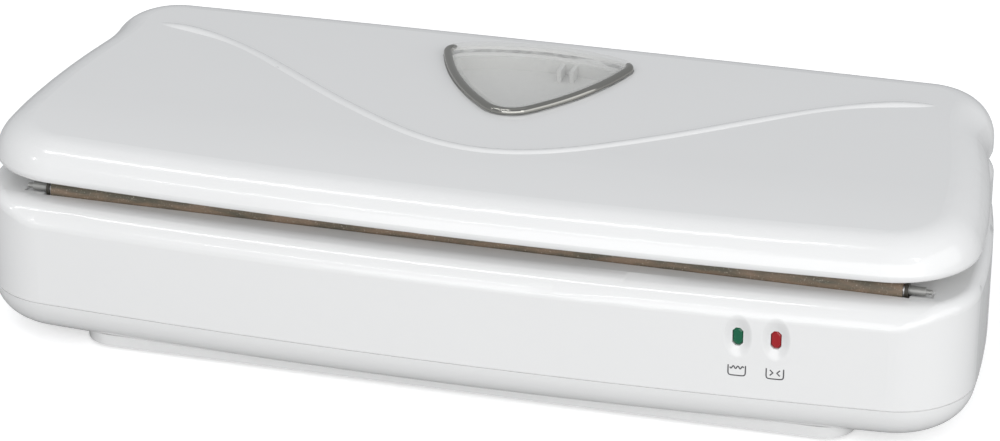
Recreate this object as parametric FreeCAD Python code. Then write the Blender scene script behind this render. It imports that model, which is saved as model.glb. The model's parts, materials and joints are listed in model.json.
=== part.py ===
import FreeCAD
import Part
import math
import os

V = FreeCAD.Vector
UP = V(0, 0, 1)
ALONG = V(1, 0, 0)

# Overall size, front towards -Y, base resting on z = 0
WIDTH = 375.0
DEPTH = 165.0
DECK_Z = 58.5
SEAM_Z = 19.0
SEAM_GAP = 0.5
WALL = 2.5

# Waisted plan of the base, all round stretches tangent to each other
FRONT_BOW = 2150.0
REAR_BOW = 9000.0
CORNER_R = 30.0
FLANK_R = 360.0
WAIST_R = 60.0
LOBE_R = 26.0
WIDEST_Y = -42.0
LOBE_INSET = 10.5

# Edges of the base
BOTTOM_Z = 4.5
BOTTOM_R = 15.0
RIM_R = 4.5
LIP_DEPTH = 11.0
LIP_DROP = 8.0

# Plinth and feet under the base
PLINTH_WIDTH = 294.0
PLINTH_DEPTH = 139.0
PLINTH_R = 12.0
PLINTH_Z = 1.0
FOOT_R = 8.0
FOOT_SINK = 1.4
FOOT_X = 128.0
FOOT_Y = 52.0
FLOOR_Z = 3.5
VENT_COUNT = 14
VENT_PITCH = 7.0
VENT_WIDTH = 3.2
TONGUE_GAP = 0.3
TONGUE_T = 1.5
TONGUE_H = 4.0

# Lid, drawn pressed flat and then lifted to where it rests on the gaskets
LID_SETBACK = 3.5
LID_REAR_SETBACK = 0.7
LID_NARROWER = 3.0
LID_CORNER_R = 33.0
LID_Z = 61.9
LID_LIFT = 1.8
LID_EDGE_R = 15.0
LID_UNDER_R = 2.5
LID_MID_Z = 80.6
LID_SLOPE = 0.0447
LID_ROLL_Y = -25.0
LID_ROLL_R = 600.0

# Hinge at the back
HINGE_INSET = 4.6
HINGE_Z = 64.5
HINGE_X = 118.0
PIN_R = 2.0
RUN_FIT = 0.05
PRESS_FIT = 0.02
KNUCKLE_R = 3.8
LUG_WIDTH = 14.0
KNUCKLE_WIDTH = 10.0
KNUCKLE_GAP = 0.4

# Sealing bar
BAR_Y = -60.5
BAR_X = 2.0
BAR_LENGTH = 321.0
BAR_R = 2.7
BAR_TOP = 62.4
BAR_WALL = 1.2
BAR_FLOOR = 50.0
BAND_WIDTH = 3.0
BAND_THICK = 0.25
TAPE_GAP = 0.3
TAPE_THICK = 0.35
SLOT_CLEAR = 0.8
DISC_THICK = 1.2
TERMINAL_R = 1.6
TERMINAL_LENGTH = 6.0
TIP_R = 0.9
TIP_LENGTH = 2.2
SLOT_WALL = 2.0
DISC_R = 3.3
TAPE_LOW_Z = 53.0

# Vacuum basin and gaskets
BASIN_WIDTH = 304.0
BASIN_FRONT = -45.5
BASIN_REAR = -18.0
BASIN_R = 13.0
BASIN_FLOOR = 47.5
BASIN_DRAFT = 2.5
GASKET_OUT = 3.0
GASKET_WIDTH = 5.0
GROOVE_DEPTH = 2.0
GASKET_TOP = 60.6
GASKET_REST_GAP = 0.3
GASKET_SIDE = 0.2
RIB_COUNT = 12
RIB_PITCH = 18.0
PORT_R = 4.0
RIB_SHIFT = 50.0
FILTER_R = 7.0
NOZZLE_R = 3.0
NOZZLE_LOW_Z = 37.0

# Raised crease on the lid, half curve from the middle outwards
CREASE = ((0, -34), (24, -29), (45, -17.5), (64, -4.5), (95, 19.5), (127, 40.4), (148, 47), (158, 48.5))
CREASE_R = 3.5
CREASE_RISE = 0.7

# Clear window in the lid
WINDOW_TIP_Y = -3.0
WINDOW_TIP_R = 13.0
WINDOW_CORNER_X = 29.5
WINDOW_CORNER_Y = 48.5
WINDOW_CORNER_R = 8.0
WINDOW_SIDE_R = 110.0
WINDOW_REAR_R = 95.0
WINDOW_RISE = 2.2
WINDOW_LEDGE = 3.0
TRIM_INSET = 1.2
TRIM_WIDTH = 2.6
TRIM_PROUD = 0.6
TRIM_SUNK = 1.0
WINDOW_FIT = 0.25
WINDOW_SEAT = 1.2
WELL_DEPTH = 9.0
WELL_WALL = 1.2

# Indicator lamps in the front
LAMP_X = 113.7
LAMP_PITCH = 13.6
LAMP_Z = 43.0
LAMP_WIDTH = 3.6
LAMP_HEIGHT = 6.8
PIT_WIDTH = 8.0
PIT_HEIGHT = 16.0
PIT_DEPTH = 1.3
LAMP_CHAMFER = 1.2
LAMP_BEVEL = 0.5
LAMP_FIT = 0.15
LAMP_SUNK = 0.3
LAMP_BOARD_GAP = 8.0
LAMP_BOARD_Z = 10.7

# Fixings
SCREW_SITES = ((-163, -22), (163, -22), (-156, 58), (156, 58), (-52, 66), (52, 66))
LINER_SITES = ((-170, -30), (170, -30), (-160, 48), (160, 48), (-62, 40), (62, 40))
BOSS_R = 3.6
SCREW_R = 1.4
HEAD_R = 2.9
HEAD_H = 1.8
BOSS_SPLIT_Z = 26.0
HEAD_SEAT_Z = 6.0
SCREW_BITE = 8.0

# Plungers of the lid switches
PLUNGER_X = 163.0
PLUNGER_Y = 8.0
PLUNGER_R = 2.4
PLUNGER_TOP = 61.6
PLUNGER_TRAVEL = 2.0
PLUNGER_FIT = 0.3
SWITCH_TOP = 51.0
SWITCH_HEIGHT = 11.0
SWITCH_DEPTH = 20.0

# Cord gland in the back wall
GLAND_X = 96.0
GLAND_Z = 32.0
GLAND_R = 6.5
GLAND_BORE = 3.6

# Liner of the lid and what it carries
LINER_Z = 61.9
LINER_T = 2.0
LINER_REAR = 72.5
LINER_DOME_Z = 68.0
STRIP_HALF = 3.4
STRIP_LOW = 63.0
STRIP_TOP = 64.8
PEG_LOW_Z = 60.0

# Sealed units on the floor of the base
PUMP_X = 60.0
PUMP_Y = 35.0
PUMP_Z = 24.0
MOTOR_R = 15.0
MOTOR_LENGTH = 48.0
HOSE_R = 5.0
HOSE_FIT = 0.05
HOSE_BEND = 12.0
TRAFO_X = -105.0
TRAFO_Y = 30.0
BOARD_Z = 10.0

FRONT = -DEPTH / 2
REAR = DEPTH / 2
HINGE_Y = REAR - HINGE_INSET
LAMP_BOARD_Y = FRONT + WALL + LAMP_BOARD_GAP
HALF = WIDTH / 2
TILT = math.tan(math.radians(LID_LIFT))
BASIN_MID = (BASIN_FRONT + BASIN_REAR) / 2
PORT_X = PUMP_X


def crossing(c1, r1, c2, r2):
    """Both points that lie r1 from c1 and r2 from c2."""
    dx, dy = c2[0] - c1[0], c2[1] - c1[1]
    d = math.hypot(dx, dy)
    a = (r1 * r1 - r2 * r2 + d * d) / (2 * d)
    h = math.sqrt(r1 * r1 - a * a)
    mid = (c1[0] + a * dx / d, c1[1] + a * dy / d)
    return [(mid[0] + k * h * dy / d, mid[1] - k * h * dx / d) for k in (1, -1)]


def arc_loop(arcs, inset=0.0, z=0.0):
    """Closed wire of tangent arcs (x, y, radius), hollow arcs having a negative radius."""
    arcs = [(x, y, r - inset) for x, y, r in arcs]
    joins = []
    for (x, y, r), (x2, y2, r2) in zip(arcs, arcs[1:] + arcs[:1]):
        k = r / (r - r2)
        joins.append((x + (x2 - x) * k, y + (y2 - y) * k))
    edges = []
    for (x, y, r), start, end in zip(arcs, joins[-1:] + joins[:-1], joins):
        turn = 1 if r > 0 else -1
        a0 = math.atan2(start[1] - y, start[0] - x)
        sweep = (turn * (math.atan2(end[1] - y, end[0] - x) - a0)) % (2 * math.pi)
        mid = a0 + turn * sweep / 2
        through = V(x + abs(r) * math.cos(mid), y + abs(r) * math.sin(mid), z)
        edges.append(Part.Arc(V(*start, z), through, V(*end, z)).toShape())
    return Part.Wire(edges)


def mirrored(first, half, last):
    """Full loop from one arc on the middle line, a right half and a second middle arc."""
    left = [(-x, y, r) for x, y, r in reversed(half)]
    return [first] + half + [last] + left


def plan(half, front, rear, widest, corner, lobe_half):
    """Arcs of a waisted plan: bowed front, round corners, waist and rear lobes."""
    bow = (0.0, front + FRONT_BOW)
    flank = (half - FLANK_R, widest)
    lobe_y = rear - REAR_BOW + math.sqrt((REAR_BOW - LOBE_R) ** 2 - (lobe_half - LOBE_R) ** 2)
    lobe = (lobe_half - LOBE_R, lobe_y)
    near = crossing(bow, FRONT_BOW - corner, flank, FLANK_R - corner)
    nose = max(near, key=lambda p: p[0] - p[1])
    waist = max(crossing(flank, FLANK_R + WAIST_R, lobe, LOBE_R + WAIST_R))
    half_arcs = [(*nose, corner), (*flank, FLANK_R), (*waist, -WAIST_R), (*lobe, LOBE_R)]
    return mirrored((*bow, FRONT_BOW), half_arcs, (0.0, rear - REAR_BOW, REAR_BOW))


BASE_PLAN = plan(HALF, FRONT, REAR, WIDEST_Y, CORNER_R, HALF - LOBE_INSET)
LID_HALF = HALF - LID_NARROWER / 2
LID_LOBE = HALF - LOBE_INSET - LID_REAR_SETBACK
LID_PLAN = plan(LID_HALF, FRONT + LID_SETBACK, REAR - LID_REAR_SETBACK, WIDEST_Y - 3.0, LID_CORNER_R, LID_LOBE)


def window_plan():
    """Arcs of the rounded three-cornered window with gently bulging sides."""
    tip = (0.0, WINDOW_TIP_Y + WINDOW_TIP_R)
    corner = (WINDOW_CORNER_X, WINDOW_CORNER_Y)
    both = crossing(tip, WINDOW_SIDE_R - WINDOW_TIP_R, corner, WINDOW_SIDE_R - WINDOW_CORNER_R)
    side = min(both)
    drop = math.sqrt((WINDOW_REAR_R - WINDOW_CORNER_R) ** 2 - WINDOW_CORNER_X ** 2)
    half_arcs = [(*side, WINDOW_SIDE_R), (*corner, WINDOW_CORNER_R)]
    return mirrored((*tip, WINDOW_TIP_R), half_arcs, (0.0, WINDOW_CORNER_Y - drop, WINDOW_REAR_R))


WINDOW = window_plan()


def slab(arcs, inset, z0, z1):
    """Upright solid over an arc loop."""
    return Part.Face(arc_loop(arcs, inset, z0)).extrude(V(0, 0, z1 - z0))


def box(x0, x1, y0, y1, z0, z1):
    """Block between two corners."""
    return Part.makeBox(x1 - x0, y1 - y0, z1 - z0, V(x0, y0, z0))


def rod(r, x, y, z0, z1):
    """Upright round rod."""
    return Part.makeCylinder(r, z1 - z0, V(x, y, z0))


def cross_rod(r, x0, x1, y, z):
    """Round rod lying along X."""
    return Part.makeCylinder(r, x1 - x0, V(x0, y, z), ALONG)


def rounded(x0, x1, y0, y1, r, z):
    """Rounded rectangle as a wire."""
    lines = []
    for cx, cy, a in ((x1 - r, y0 + r, -90), (x1 - r, y1 - r, 0), (x0 + r, y1 - r, 90), (x0 + r, y0 + r, 180)):
        lines.append([V(cx + r * math.cos(math.radians(a + k)), cy + r * math.sin(math.radians(a + k)), z)
                      for k in (0, 45, 90)])
    edges = []
    for here, after in zip(lines, lines[1:] + lines[:1]):
        edges.append(Part.Arc(*here).toShape())
        edges.append(Part.makeLine(here[2], after[0]))
    return Part.Wire(edges)


def block(x0, x1, y0, y1, r, z0, z1):
    """Upright block with rounded corners."""
    return Part.Face(rounded(x0, x1, y0, y1, r, z0)).extrude(V(0, 0, z1 - z0))


def rim(shape, z):
    """Edges of a shape lying flat at one height."""
    flat = [e for e in shape.Edges if abs(e.BoundBox.ZMax - z) < 1e-4 and abs(e.BoundBox.ZMin - z) < 1e-4]
    return flat


def union(first, *others):
    """Pieces fused into one solid."""
    return first.fuse(list(others))


def lip_cut(shift):
    """Space above the rounded front lip, swept round the bowed front."""
    y0, y1 = FRONT + shift, FRONT + LIP_DEPTH + shift
    z0, z1 = DECK_Z - LIP_DROP - shift, DECK_Z - shift
    r = (LIP_DEPTH ** 2 + LIP_DROP ** 2) / (2 * LIP_DROP)
    half_turn = math.asin(LIP_DEPTH / r) / 2
    bend = V(0, y1 - r * math.sin(half_turn), z1 - r + r * math.cos(half_turn))
    curve = Part.Arc(V(0, y0, z0), bend, V(0, y1, z1)).toShape()
    far = [V(0, y1, z1), V(0, y1, z1 + 20), V(0, y0 - 20, z1 + 20), V(0, y0 - 20, z0), V(0, y0, z0)]
    face = Part.Face(Part.Wire([curve] + [Part.makeLine(a, b) for a, b in zip(far, far[1:])]))
    axis = V(0, FRONT + FRONT_BOW, 0)
    return face.rotate(axis, UP, -6).revolve(axis, UP, 12)


def base_form(inset, edge=0.0):
    """Outer (inset 0) or inner form of the closed base, its top rim rounded by edge."""
    form = slab(BASE_PLAN, inset, BOTTOM_Z + inset, DECK_Z - inset)
    form = form.makeFillet(BOTTOM_R - inset, rim(form, BOTTOM_Z + inset))
    form = form.cut(lip_cut(inset))
    if edge:
        high = [e for e in form.Edges if e.BoundBox.ZMin > DECK_Z - LIP_DROP - 1]
        loop = [e for e in high if abs(e.CenterOfMass.x) > 1 or abs(e.CenterOfMass.y) > -FRONT - 6]
        form = form.makeFillet(edge, loop)
    return form


def basin_loop(out, z):
    """Basin outline grown by a distance."""
    half = BASIN_WIDTH / 2 + out
    return rounded(-half, half, BASIN_FRONT - out, BASIN_REAR + out, BASIN_R + out, z)


def basin_block(out, z0, z1):
    """Upright block over the grown basin outline."""
    return Part.Face(basin_loop(out, z0)).extrude(V(0, 0, z1 - z0))


def gasket_ring(z0, z1, shrink=0.0):
    """Ring that runs round the basin."""
    outer = basin_block(GASKET_OUT + GASKET_WIDTH - shrink, z0, z1)
    return outer.cut(basin_block(GASKET_OUT + shrink, z0, z1))


def bosses(sites, r, z0, z1):
    """Round posts at several sites."""
    return [rod(r, x, y, z0, z1) for x, y in sites]


def screws(sites, head_z, length):
    """Pan-head screws pointing up from their heads."""
    solids = []
    for x, y in sites:
        head = rod(HEAD_R, x, y, head_z - HEAD_H, head_z)
        head = head.makeFillet(HEAD_H / 2, rim(head, head_z - HEAD_H))
        solids.append(union(head, rod(SCREW_R, x, y, head_z, head_z + length)))
    return Part.makeCompound(solids)


def at_front(shape, x):
    """Shape drawn at the middle of the front, swung along the bow to x."""
    turn = math.degrees(math.asin(x / FRONT_BOW))
    return shape.rotate(V(0, FRONT + FRONT_BOW, 0), UP, turn)


def base_tray():
    """Lower shell with plinth, posts, vents, foot seats and the tongue of the seam."""
    top = SEAM_Z - SEAM_GAP / 2
    shell = base_form(0).cut(base_form(WALL)).common(box(-HALF, HALF, FRONT, REAR, 0, top))
    px, py = PLINTH_WIDTH / 2, PLINTH_DEPTH / 2
    tongue = slab(BASE_PLAN, WALL + TONGUE_GAP, SEAM_Z - 7, SEAM_Z + TONGUE_H)
    tongue = tongue.cut(slab(BASE_PLAN, WALL + TONGUE_GAP + TONGUE_T, SEAM_Z - 7, SEAM_Z + TONGUE_H))
    tray = union(shell, block(-px, px, -py, py, PLINTH_R, PLINTH_Z, BOTTOM_Z + 1), tongue)
    tray = tray.cut(block(WALL - px, px - WALL, WALL - py, py - WALL, PLINTH_R - WALL, FLOOR_Z,
                          BOTTOM_Z + WALL + 1))
    tray = union(tray, *bosses(SCREW_SITES, BOSS_R + 1, PLINTH_Z + 1.5, BOSS_SPLIT_Z))
    holes = bosses(SCREW_SITES, SCREW_R + 0.3, 0, BOSS_SPLIT_Z)
    holes += bosses(SCREW_SITES, HEAD_R + 0.4, 0, HEAD_SEAT_Z)
    feet = [rod(FOOT_R, x, y, 0, PLINTH_Z + FOOT_SINK) for x in (-FOOT_X, FOOT_X) for y in (-FOOT_Y, FOOT_Y)]
    vents = []
    for k in range(VENT_COUNT):
        x = VENT_PITCH * (k - (VENT_COUNT - 1) / 2)
        half = VENT_WIDTH / 2
        vents.append(block(x - half, x + half, -8, 24, half - 0.01, 0, FLOOR_Z + 1))
    return tray.cut(holes + feet + vents)


def feet():
    """Rubber pads let into the plinth."""
    pads = []
    for x in (-FOOT_X, FOOT_X):
        for y in (-FOOT_Y, FOOT_Y):
            pad = rod(FOOT_R, x, y, 0, PLINTH_Z + FOOT_SINK)
            pads.append(pad.makeFillet(0.6, rim(pad, 0)))
    return Part.makeCompound(pads)


SLOT_HALF = BAR_R + TAPE_GAP + TAPE_THICK + SLOT_CLEAR
BAR_MID_Z = BAR_TOP - BAR_R
BAR_START = BAR_X - BAR_LENGTH / 2
BAR_END = BAR_X + BAR_LENGTH / 2
TERMINAL_REACH = DISC_THICK + TERMINAL_LENGTH + TIP_LENGTH + 0.8


def bar_slot(grow):
    """Slot of the sealing bar, with narrow ends for the terminals."""
    y, half = BAR_Y, SLOT_HALF + grow
    wide = box(BAR_START - DISC_THICK - 0.8 - grow, BAR_END + DISC_THICK + 0.8 + grow,
               y - half, y + half, BAR_FLOOR - grow, DECK_Z + 5)
    thin = TERMINAL_R + 0.8 + grow
    ends = box(BAR_START - TERMINAL_REACH - grow, BAR_END + TERMINAL_REACH + grow,
               y - thin, y + thin, BAR_MID_Z - TERMINAL_R - 0.6 - grow, DECK_Z + 5)
    return union(wide, ends)


def lamp_outline(grow, y):
    """Long eight-cornered outline of a lamp lens at the middle of the front."""
    w, h, c = LAMP_WIDTH / 2 + grow, LAMP_HEIGHT / 2 + grow, LAMP_CHAMFER
    half = [(w - c, -h), (w, c - h), (w, h - c), (w - c, h)]
    ring = half + [(-x, -z) for x, z in half]
    corners = [V(x, y, LAMP_Z + z) for x, z in ring]
    return Part.makePolygon(corners + corners[:1])


def lamp_lens(x):
    """Jewel lens with a bevelled face and a flange behind the wall."""
    face_y, back_y = FRONT + LAMP_SUNK, FRONT + WALL + 0.1
    body = Part.Face(lamp_outline(0, face_y + LAMP_BEVEL)).extrude(V(0, back_y + 1.4 - face_y - LAMP_BEVEL, 0))
    jewel = Part.makeLoft([lamp_outline(-LAMP_BEVEL, face_y), lamp_outline(0, face_y + LAMP_BEVEL)], True, True)
    flange = Part.Face(lamp_outline(1.2, back_y)).extrude(V(0, 1.4, 0))
    return at_front(union(body, jewel, flange), x)


def lamp_cuts(x):
    """Shallow oval pit and the hole for the lens."""
    ball = Part.makeSphere(1)
    scale = FreeCAD.Matrix()
    scale.scale(PIT_WIDTH / 2, PIT_DEPTH, PIT_HEIGHT / 2)
    pit = ball.transformGeometry(scale)
    pit.translate(V(0, FRONT, LAMP_Z))
    hole = Part.Face(lamp_outline(LAMP_FIT, FRONT - 2)).extrude(V(0, 6, 0))
    return [at_front(pit, x), at_front(hole, x)]


def hinge_lug(x):
    """Upright lug of the base with a round top."""
    half = LUG_WIDTH / 2
    low = box(x - half, x + half, HINGE_Y - KNUCKLE_R, HINGE_Y + KNUCKLE_R, DECK_Z - 5, HINGE_Z)
    return union(low, cross_rod(KNUCKLE_R, x - half, x + half, HINGE_Y, HINGE_Z))


def switch_post(x):
    """Rib under the deck that carries a lid switch."""
    y = PLUNGER_Y + SWITCH_DEPTH / 2
    return box(x - 4, x + 4, y, y + 2.5, SWITCH_TOP - SWITCH_HEIGHT, DECK_Z - 1)


def upper_housing():
    """Upper shell with lip, bar slot, basin, groove, lamp pits, lugs and posts."""
    outer = base_form(0, RIM_R)
    keep = box(-HALF, HALF, FRONT, REAR, SEAM_Z + SEAM_GAP / 2, DECK_Z + 1)
    shell = outer.cut(base_form(WALL)).common(keep)
    groove_z = DECK_Z - GROOVE_DEPTH
    inside = [bar_slot(SLOT_WALL).common(outer)]
    inside.append(basin_block(WALL - 0.3, BASIN_FLOOR - WALL + 0.3, DECK_Z - 1))
    inside.append(basin_block(GASKET_OUT + GASKET_WIDTH + 2, groove_z - 2, DECK_Z - 1))
    inside += bosses(SCREW_SITES, BOSS_R, BOSS_SPLIT_Z + SEAM_GAP, DECK_Z - 1)
    for x in (-PLUNGER_X, PLUNGER_X):
        inside.append(switch_post(x))
    for x in (-HINGE_X, HINGE_X):
        inside.append(hinge_lug(x))
    body = union(shell, *inside)
    cuts = [bar_slot(0), gasket_ring(groove_z, DECK_Z + 5)]
    loops = [basin_loop(-BASIN_DRAFT, BASIN_FLOOR), basin_loop(0.1, DECK_Z + 0.4)]
    cuts.append(Part.makeLoft(loops, True, True))
    cuts += bosses(SCREW_SITES, SCREW_R + 0.05, BOSS_SPLIT_Z, BOSS_SPLIT_Z + SCREW_BITE + 2)
    bore = PLUNGER_R + PLUNGER_FIT
    cuts += [rod(bore, x, PLUNGER_Y, DECK_Z - 6, DECK_Z + 1) for x in (-PLUNGER_X, PLUNGER_X)]
    cuts += lamp_cuts(LAMP_X - LAMP_PITCH / 2) + lamp_cuts(LAMP_X + LAMP_PITCH / 2)
    cuts.append(rod(PORT_R, PORT_X, BASIN_MID, BASIN_FLOOR - 10, BASIN_FLOOR + 1))
    cuts.append(cross_rod(PIN_R + RUN_FIT, -HINGE_X - LUG_WIDTH, HINGE_X + LUG_WIDTH, HINGE_Y, HINGE_Z))
    cuts.append(Part.makeCylinder(GLAND_R + RUN_FIT, 20, V(GLAND_X, REAR - 15, GLAND_Z), V(0, 1, 0)))
    for tool in cuts:
        body = body.cut(tool)
    ribs = []
    for k in range(RIB_COUNT):
        x = RIB_PITCH * (k - (RIB_COUNT - 1) / 2) - RIB_SHIFT
        ribs.append(box(x - 0.8, x + 0.8, BASIN_MID - 9, BASIN_MID + 9, BASIN_FLOOR - 0.5, BASIN_FLOOR + 1.4))
    return union(body, *ribs)


def base_gasket():
    """Soft ring in the groove of the deck."""
    ring = gasket_ring(DECK_Z - GROOVE_DEPTH, GASKET_TOP, GASKET_SIDE)
    return ring.makeFillet(1.2, rim(ring, GASKET_TOP))


def bar_profile(r, z0, x0, x1):
    """Upright bar with a half-round top."""
    legs = box(x0, x1, BAR_Y - r, BAR_Y + r, z0, BAR_MID_Z)
    return union(legs, cross_rod(r, x0, x1, BAR_Y, BAR_MID_Z))


def seal_carrier():
    """Rigid core of the sealing bar with lightening pockets underneath."""
    core = bar_profile(BAR_R, BAR_FLOOR, BAR_START, BAR_END)
    pitch = BAR_LENGTH / 6
    half = BAR_R - BAR_WALL
    pockets = []
    for k in range(6):
        x = BAR_START + pitch * (k + 0.5)
        x0, x1 = x - pitch / 2 + 4, x + pitch / 2 - 4
        pockets.append(block(x0, x1, BAR_Y - half, BAR_Y + half, 1, BAR_FLOOR, BAR_FLOOR + 5))
    return core.cut(pockets)


def heating_band():
    """Thin ribbon bent over the crown of the core."""
    x0, x1 = BAR_START + 1, BAR_END - 1
    inner = cross_rod(BAR_R + PRESS_FIT, x0, x1, BAR_Y, BAR_MID_Z)
    shell = cross_rod(BAR_R + BAND_THICK, x0, x1, BAR_Y, BAR_MID_Z).cut(inner)
    return shell.common(box(x0, x1, BAR_Y - BAND_WIDTH / 2, BAR_Y + BAND_WIDTH / 2, BAR_MID_Z, BAR_TOP + 1))


def ptfe_tape():
    """Woven tape drawn over the band and down both flanks."""
    x0, x1 = BAR_START + 0.6, BAR_END - 0.6
    outer = bar_profile(BAR_R + TAPE_GAP + TAPE_THICK, TAPE_LOW_Z, x0, x1)
    return outer.cut(bar_profile(BAR_R + TAPE_GAP, TAPE_LOW_Z - 1, x0, x1))


def bar_ends():
    """Dark discs closing the ends of the bar, and the stepped terminals beyond them."""
    discs, pins = [], []
    for side, x in ((-1, BAR_START), (1, BAR_END)):
        spread = [x, x + side * DISC_THICK, x + side * (DISC_THICK + TERMINAL_LENGTH)]
        spread.append(spread[2] + side * TIP_LENGTH)
        steps = [cross_rod(r, min(a, b), max(a, b), BAR_Y, BAR_MID_Z)
                 for r, a, b in zip((DISC_R, TERMINAL_R, TIP_R), spread, spread[1:])]
        discs.append(steps[0])
        pins.append(union(steps[1], steps[2]))
    return Part.makeCompound(discs), Part.makeCompound(pins)


def suction_filter():
    """Round sieve over the port in the basin floor."""
    disc = rod(FILTER_R, PORT_X, BASIN_MID, BASIN_FLOOR, BASIN_FLOOR + 1.6)
    disc = disc.makeFillet(0.6, rim(disc, BASIN_FLOOR + 1.6))
    holes = [rod(0.9, PORT_X, BASIN_MID, BASIN_FLOOR - 1, BASIN_FLOOR + 3)]
    for k in range(6):
        a = math.radians(60 * k)
        x, y = PORT_X + 2.6 * math.cos(a), BASIN_MID + 2.6 * math.sin(a)
        holes.append(rod(0.9, x, y, BASIN_FLOOR - 1, BASIN_FLOOR + 3))
    return disc.cut(holes)


def port_nozzle():
    """Flanged nozzle under the basin that takes the hose."""
    top = BASIN_FLOOR - WALL + 0.3
    body = union(rod(8, PORT_X, BASIN_MID, top - 2, top), rod(NOZZLE_R, PORT_X, BASIN_MID, NOZZLE_LOW_Z, top))
    return body.cut(rod(NOZZLE_R - 1, PORT_X, BASIN_MID, NOZZLE_LOW_Z - 1, top + 1))


def pump_head():
    """Pump body standing on the floor with its outlet towards the front."""
    x0, x1, y0, y1 = PUMP_X - 18, PUMP_X + 18, PUMP_Y - 18, PUMP_Y + 18
    body = block(x0, x1, y0, y1, 4, FLOOR_Z, FLOOR_Z + 40)
    fins = [box(x0 - 1, x1 + 1, y0 - 1, y0 + 3, FLOOR_Z + z, FLOOR_Z + z + 1.5) for z in (28, 32, 36)]
    spout = Part.makeCylinder(NOZZLE_R, 14, V(PUMP_X, y0 - 10, PUMP_Z), V(0, 1, 0))
    bore = Part.makeCylinder(NOZZLE_R - 1, 18, V(PUMP_X, y0 - 11, PUMP_Z), V(0, 1, 0))
    return union(body.cut(fins), spout).cut(bore)


def pump_motor():
    """Round motor beside the pump head, with a stepped end cap."""
    x0 = PUMP_X + 18
    can = cross_rod(MOTOR_R, x0, x0 + MOTOR_LENGTH, PUMP_Y, PUMP_Z)
    cap = cross_rod(MOTOR_R * 0.5, x0 + MOTOR_LENGTH, x0 + MOTOR_LENGTH + 3, PUMP_Y, PUMP_Z)
    can = can.makeFillet(1.5, [e for e in can.Edges if abs(e.BoundBox.XMin - x0 - MOTOR_LENGTH) < 1e-4])
    return union(can, cap)


def pump_mount():
    """Rubber cradle under the motor."""
    x0 = PUMP_X + 18
    pad = block(x0 + 8, x0 + MOTOR_LENGTH - 6, PUMP_Y - 12, PUMP_Y + 12, 3, FLOOR_Z, PUMP_Z - MOTOR_R * 0.6)
    return pad.cut(cross_rod(MOTOR_R + RUN_FIT, x0, x0 + MOTOR_LENGTH, PUMP_Y, PUMP_Z))


def pump_hose():
    """Hose from the pump spout, bent up to the nozzle under the basin."""
    r, x, y, z = HOSE_BEND, PUMP_X, BASIN_MID, PUMP_Z
    start, top = V(x, PUMP_Y - 20, z), V(x, y, NOZZLE_LOW_Z + 5)
    low, high = V(x, y + r, z), V(x, y, z + r)
    middle = V(x, y + r * (1 - math.sqrt(0.5)), z + r * (1 - math.sqrt(0.5)))
    bend = Part.Arc(low, middle, high).toShape()
    spine = Part.Wire([Part.makeLine(start, low), bend, Part.makeLine(high, top)])
    tubes = []
    for radius in (HOSE_R, NOZZLE_R + HOSE_FIT):
        ring = Part.Wire(Part.makeCircle(radius, start, V(0, -1, 0)))
        tubes.append(spine.makePipeShell([ring], True, False))
    return tubes[0].cut(tubes[1])


def transformer():
    """Laminated core with two windows and the coil on its middle leg."""
    x, y, z = TRAFO_X, TRAFO_Y, FLOOR_Z
    core = box(x - 26, x + 26, y - 15, y + 15, z, z + 44)
    core = core.cut([box(x + a, x + a + 9, y - 20, y + 20, z + 9, z + 35) for a in (-17, 8)])
    coil = block(x - 16.7, x + 16.7, y - 24, y + 24, 8, z + 9.3, z + 34.7)
    coil = coil.cut([box(x - 8, x + 8, y - 15, y + 15, z, z + 44)])
    return core, coil


def boards():
    """Control board with its components, lamp board and its light sources."""
    pcb = box(-45, 38, -48, -6, BOARD_Z, BOARD_Z + 1.6)
    pcb = union(pcb, *[rod(3, x, y, FLOOR_Z, BOARD_Z) for x in (-40, 33) for y in (-43, -11)])
    top = BOARD_Z + 1.6
    parts = [box(-34, -15, -40, -25, top, top + 14)]
    parts += [rod(5, 0, -36, top, top + 16), rod(4, 12, -36, top, top + 12)]
    parts += [box(18, 28, -24, -14, top, top + 3), box(-30, -6, -18, -10, top, top + 8)]
    strip_y = LAMP_BOARD_Y
    strip = box(LAMP_X - 18, LAMP_X + 18, strip_y, strip_y + 1.6, LAMP_BOARD_Z, LAMP_Z + 4)
    lights = []
    for k in (-0.5, 0.5):
        x = LAMP_X + k * LAMP_PITCH
        lights.append(Part.makeCylinder(1.5, 2.2, V(x, strip_y - 2.2, LAMP_Z), V(0, 1, 0)))
    return pcb, Part.makeCompound(parts), strip, Part.makeCompound(lights)


def vent_valve():
    """Solenoid valve that lets air back in."""
    frame = block(-44, -16, 18, 42, 2, FLOOR_Z, FLOOR_Z + 20)
    coil = Part.makeCylinder(8, 14, V(-30, 30, FLOOR_Z + 20))
    return union(frame, coil, rod(2.2, -30, 30, FLOOR_Z + 34, FLOOR_Z + 40))


def vacuum_switch():
    """Round diaphragm switch with its nipple and tabs."""
    body = union(rod(13, 0, 36, FLOOR_Z, FLOOR_Z + 9), rod(8, 0, 36, FLOOR_Z + 9, FLOOR_Z + 15))
    tabs = [box(x - 2, x + 2, 35.6, 36.4, FLOOR_Z + 15, FLOOR_Z + 22) for x in (-4, 4)]
    return union(body, *tabs)


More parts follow.
